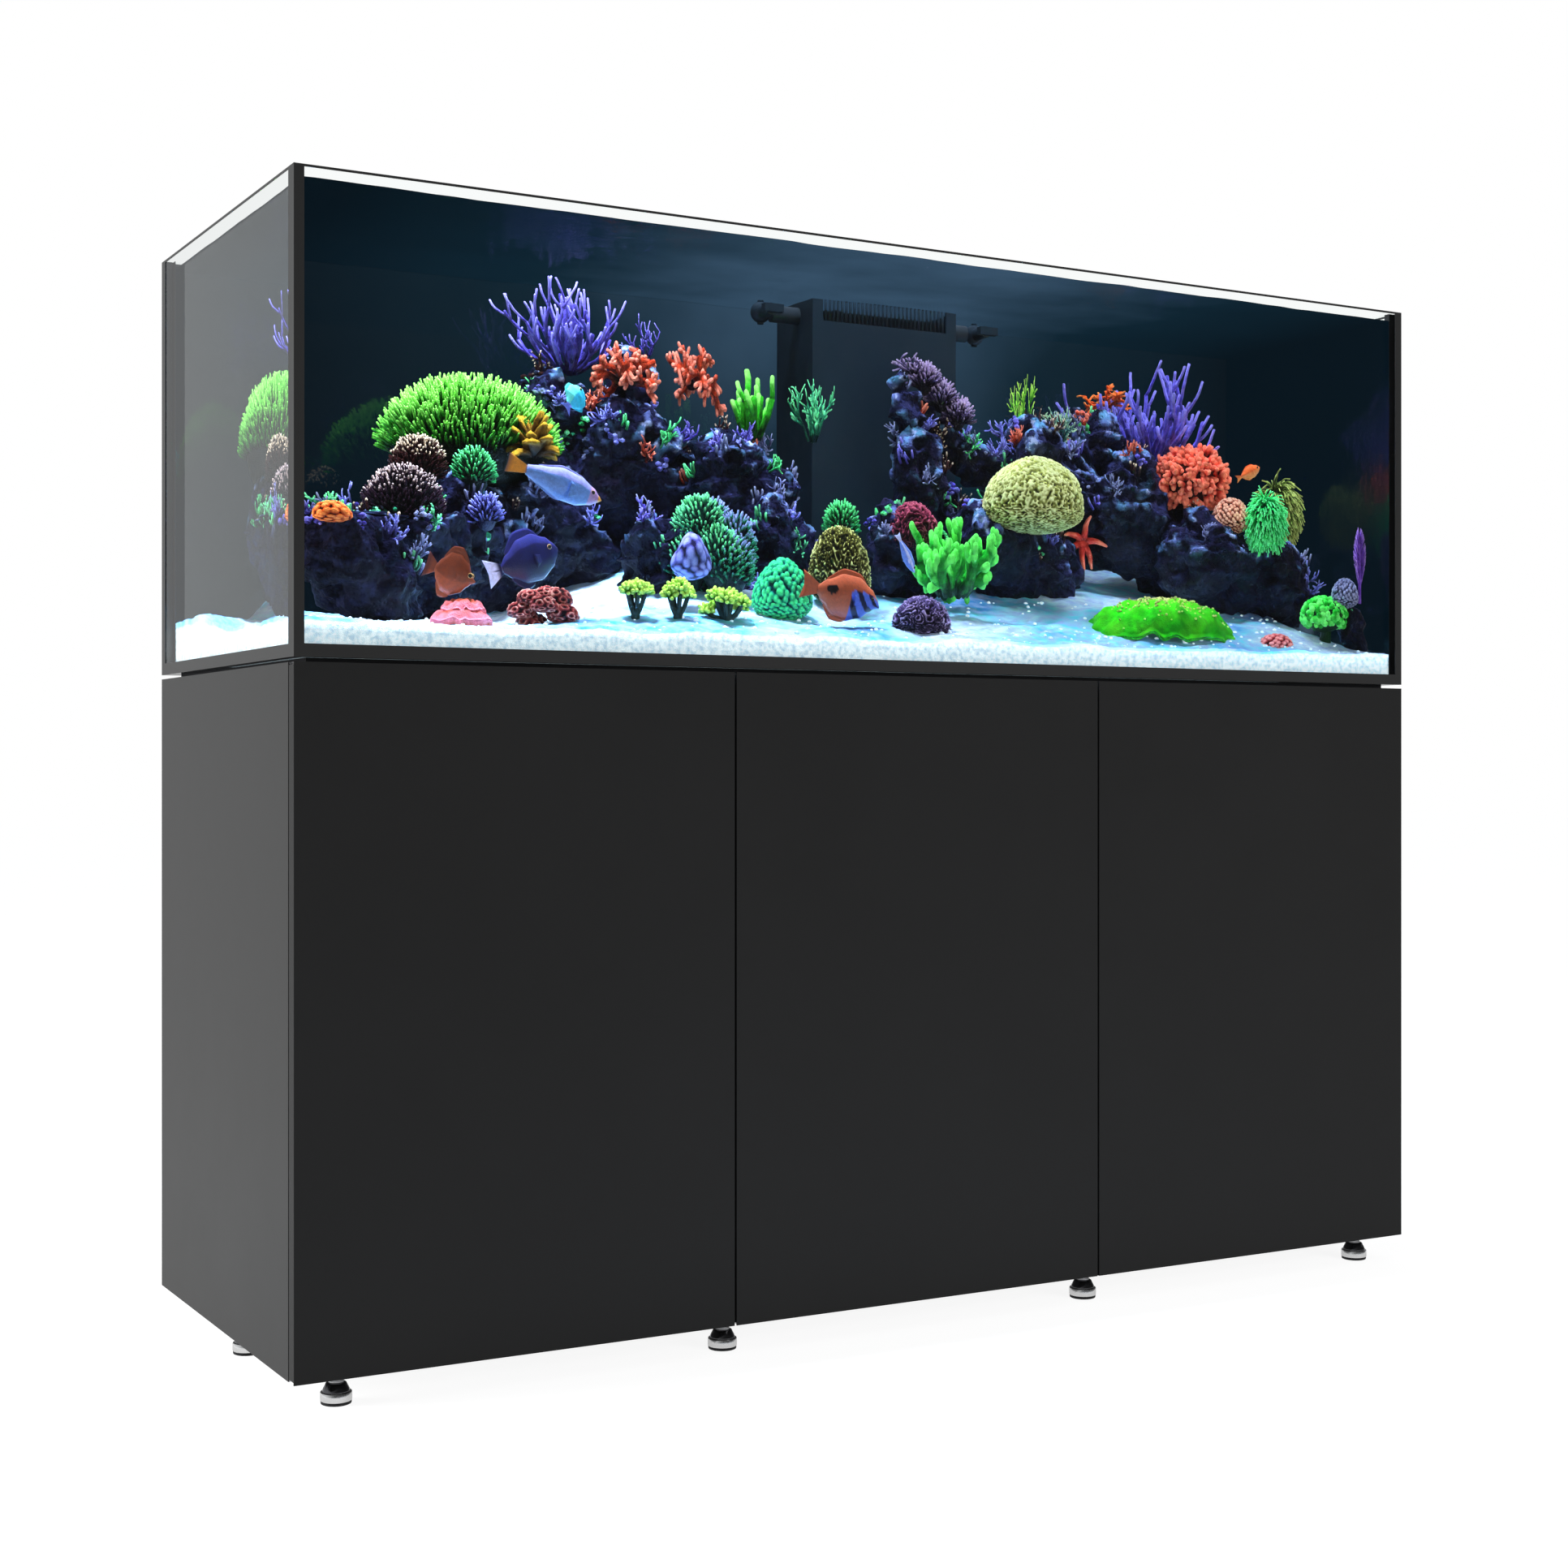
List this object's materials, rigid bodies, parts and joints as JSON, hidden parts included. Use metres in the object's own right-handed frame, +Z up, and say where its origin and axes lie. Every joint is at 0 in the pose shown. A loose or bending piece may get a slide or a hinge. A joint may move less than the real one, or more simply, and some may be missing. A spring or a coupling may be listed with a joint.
{
  "type": "aquarium on stand",
  "caption": "Long rectangular glass reef aquarium with sand, rock, corals and fish, on a charcoal cabinet with push-to-open doors, levelling feet and a filter sump inside.",
  "frame": {"origin": "on the floor, under the middle of the cabinet", "axes": "+X to the right along the front, +Y from the front to the back, +Z up"},
  "size_m": [1.8, 0.616, 1.5],
  "materials": {
    "glass": "clear polished float glass",
    "black_silicone": "satin black silicone",
    "black_trim": "gloss black profile",
    "background_film": "dark navy film",
    "black_acrylic": "black acrylic",
    "clear_acrylic": "clear acrylic",
    "grey_pvc": "grey PVC pipe",
    "sand": "white aragonite sand",
    "live_rock": "porous live rock",
    "green_coral": "fluorescent green coral",
    "violet_coral": "violet coral",
    "orange_coral": "red-orange coral",
    "brown_coral": "brown and cream coral",
    "yellow_green_coral": "yellow-green coral",
    "soft_coral": "green soft coral",
    "fish_skin": "wet scaled skin",
    "foam": "closed-cell foam",
    "cabinet_panel": "matt charcoal laminate on moisture-proof board",
    "door_finish": "matt charcoal lacquer",
    "steel": "zinc-plated steel",
    "latch_plastic": "grey nylon",
    "nylon": "white nylon",
    "foot_metal": "bright and dark nickel with a rubber pad",
    "felt": "white felt",
    "pump_plastic": "black moulded plastic",
    "red_plastic": "red moulded plastic"
  },
  "bodies": {
    "root": {"front_glass": "glass", "back_glass": "glass", "left_glass": "glass", "right_glass": "glass", "base_glass": "glass", "silicone_seams": "black_silicone", "edge_trim": "black_trim", "background_film": "background_film", "overflow_box": "black_acrylic", "bulkheads": "grey_pvc", "drain_pipe": "grey_pvc", "return_pipe": "grey_pvc", "sand_bed": "sand", "rock_left": "live_rock", "rock_right": "live_rock", "table_coral": "green_coral", "staghorn_corals": "violet_coral", "branch_corals": "orange_coral", "brain_corals": "brown_coral", "plate_corals": "yellow_green_coral", "soft_corals": "soft_coral", "fish": "fish_skin", "levelling_mat": "foam", "top_panel": "cabinet_panel", "base_panel": "cabinet_panel", "left_side_panel": "cabinet_panel", "right_side_panel": "cabinet_panel", "back_panel": "cabinet_panel", "divider_left": "cabinet_panel", "divider_right": "cabinet_panel", "hinge_brackets": "steel", "latch_bodies": "latch_plastic", "foot_inserts": "nylon", "sump_tank": "glass", "sump_baffles": "clear_acrylic", "skimmer_body": "clear_acrylic", "return_pump": "pump_plastic"},
    "door_left": {"door_left": "door_finish"},
    "door_middle": {"door_middle": "door_finish"},
    "door_right": {"door_right": "door_finish"},
    "plunger_left": {"latch_plunger_left": "latch_plastic"},
    "plunger_middle": {"latch_plunger_middle": "latch_plastic"},
    "plunger_right": {"latch_plunger_right": "latch_plastic"},
    "nozzle_left": {"nozzle_left": "black_acrylic"},
    "nozzle_right": {"nozzle_right": "black_acrylic"},
    "overflow_lid": {"overflow_lid": "black_acrylic"},
    "filter_sock": {"filter_sock": "felt"},
    "skimmer_cup": {"skimmer_cup": "clear_acrylic"},
    "drain_handle": {"drain_valve_handle": "red_plastic"},
    "return_handle": {"return_valve_handle": "red_plastic"},
    "foot_front_1": {"foot_front_1": "foot_metal"},
    "foot_front_2": {"foot_front_2": "foot_metal"},
    "foot_front_3": {"foot_front_3": "foot_metal"},
    "foot_front_4": {"foot_front_4": "foot_metal"},
    "foot_back_1": {"foot_back_1": "foot_metal"},
    "foot_back_2": {"foot_back_2": "foot_metal"},
    "foot_back_3": {"foot_back_3": "foot_metal"},
    "foot_back_4": {"foot_back_4": "foot_metal"},
    "foot_side_left": {"foot_side_left": "foot_metal"},
    "foot_side_right": {"foot_side_right": "foot_metal"}
  },
  "joints": [
    {"name": "door_left_hinge", "type": "hinge", "parent": "root", "child": "door_left", "pos_m": [-0.8925, -0.302, 0.471], "axis": [0, 0, -1], "range_deg": [0, 95]},
    {"name": "door_middle_hinge", "type": "hinge", "parent": "root", "child": "door_middle", "pos_m": [-0.291, -0.302, 0.471], "axis": [0, 0, -1], "range_deg": [0, 95]},
    {"name": "door_right_hinge", "type": "hinge", "parent": "root", "child": "door_right", "pos_m": [0.8925, -0.302, 0.471], "axis": [0, 0, 1], "range_deg": [0, 95]},
    {"name": "plunger_left_push", "type": "slide", "parent": "root", "child": "plunger_left", "axis": [0, 1, 0], "range_m": [0, 0.004], "stiffness_N_per_m": 300},
    {"name": "plunger_middle_push", "type": "slide", "parent": "root", "child": "plunger_middle", "axis": [0, 1, 0], "range_m": [0, 0.004], "stiffness_N_per_m": 300},
    {"name": "plunger_right_push", "type": "slide", "parent": "root", "child": "plunger_right", "axis": [0, 1, 0], "range_m": [0, 0.004], "stiffness_N_per_m": 300},
    {"name": "nozzle_left_swivel", "type": "hinge", "parent": "root", "child": "nozzle_left", "pos_m": [-0.062, 0.205, 1.468], "axis": [0, 0, 1], "range_deg": [-18, 18]},
    {"name": "nozzle_right_swivel", "type": "hinge", "parent": "root", "child": "nozzle_right", "pos_m": [0.322, 0.205, 1.468], "axis": [0, 0, 1], "range_deg": [-18, 18]},
    {"name": "overflow_lid_lift", "type": "slide", "parent": "root", "child": "overflow_lid", "axis": [0, 0, 1], "range_m": [0, 0.05]},
    {"name": "filter_sock_lift", "type": "slide", "parent": "root", "child": "filter_sock", "axis": [0, 0, 1], "range_m": [0, 0.08]},
    {"name": "skimmer_cup_lift", "type": "slide", "parent": "root", "child": "skimmer_cup", "axis": [0, 0, 1], "range_m": [0, 0.1]},
    {"name": "drain_valve_turn", "type": "hinge", "parent": "root", "child": "drain_handle", "pos_m": [0.19, 0.175, 0.66], "axis": [0, 1, 0], "range_deg": [0, 90]},
    {"name": "return_valve_turn", "type": "hinge", "parent": "root", "child": "return_handle", "pos_m": [0.07, 0.175, 0.66], "axis": [0, 1, 0], "range_deg": [0, 90]},
    {"name": "foot_front_1_screw", "type": "hinge", "parent": "root", "child": "foot_front_1", "pos_m": [-0.835, -0.27, 0.02], "axis": [0, 0, 1], "continuous": true},
    {"name": "foot_front_2_screw", "type": "hinge", "parent": "root", "child": "foot_front_2", "pos_m": [-0.3, -0.27, 0.02], "axis": [0, 0, 1], "continuous": true},
    {"name": "foot_front_3_screw", "type": "hinge", "parent": "root", "child": "foot_front_3", "pos_m": [0.3, -0.27, 0.02], "axis": [0, 0, 1], "continuous": true},
    {"name": "foot_front_4_screw", "type": "hinge", "parent": "root", "child": "foot_front_4", "pos_m": [0.835, -0.27, 0.02], "axis": [0, 0, 1], "continuous": true},
    {"name": "foot_back_1_screw", "type": "hinge", "parent": "root", "child": "foot_back_1", "pos_m": [-0.835, 0.27, 0.02], "axis": [0, 0, 1], "continuous": true},
    {"name": "foot_back_2_screw", "type": "hinge", "parent": "root", "child": "foot_back_2", "pos_m": [-0.3, 0.27, 0.02], "axis": [0, 0, 1], "continuous": true},
    {"name": "foot_back_3_screw", "type": "hinge", "parent": "root", "child": "foot_back_3", "pos_m": [0.3, 0.27, 0.02], "axis": [0, 0, 1], "continuous": true},
    {"name": "foot_back_4_screw", "type": "hinge", "parent": "root", "child": "foot_back_4", "pos_m": [0.835, 0.27, 0.02], "axis": [0, 0, 1], "continuous": true},
    {"name": "foot_side_left_screw", "type": "hinge", "parent": "root", "child": "foot_side_left", "pos_m": [-0.86, 0.02, 0.02], "axis": [0, 0, 1], "continuous": true},
    {"name": "foot_side_right_screw", "type": "hinge", "parent": "root", "child": "foot_side_right", "pos_m": [0.86, 0.02, 0.02], "axis": [0, 0, 1], "continuous": true}
  ]
}
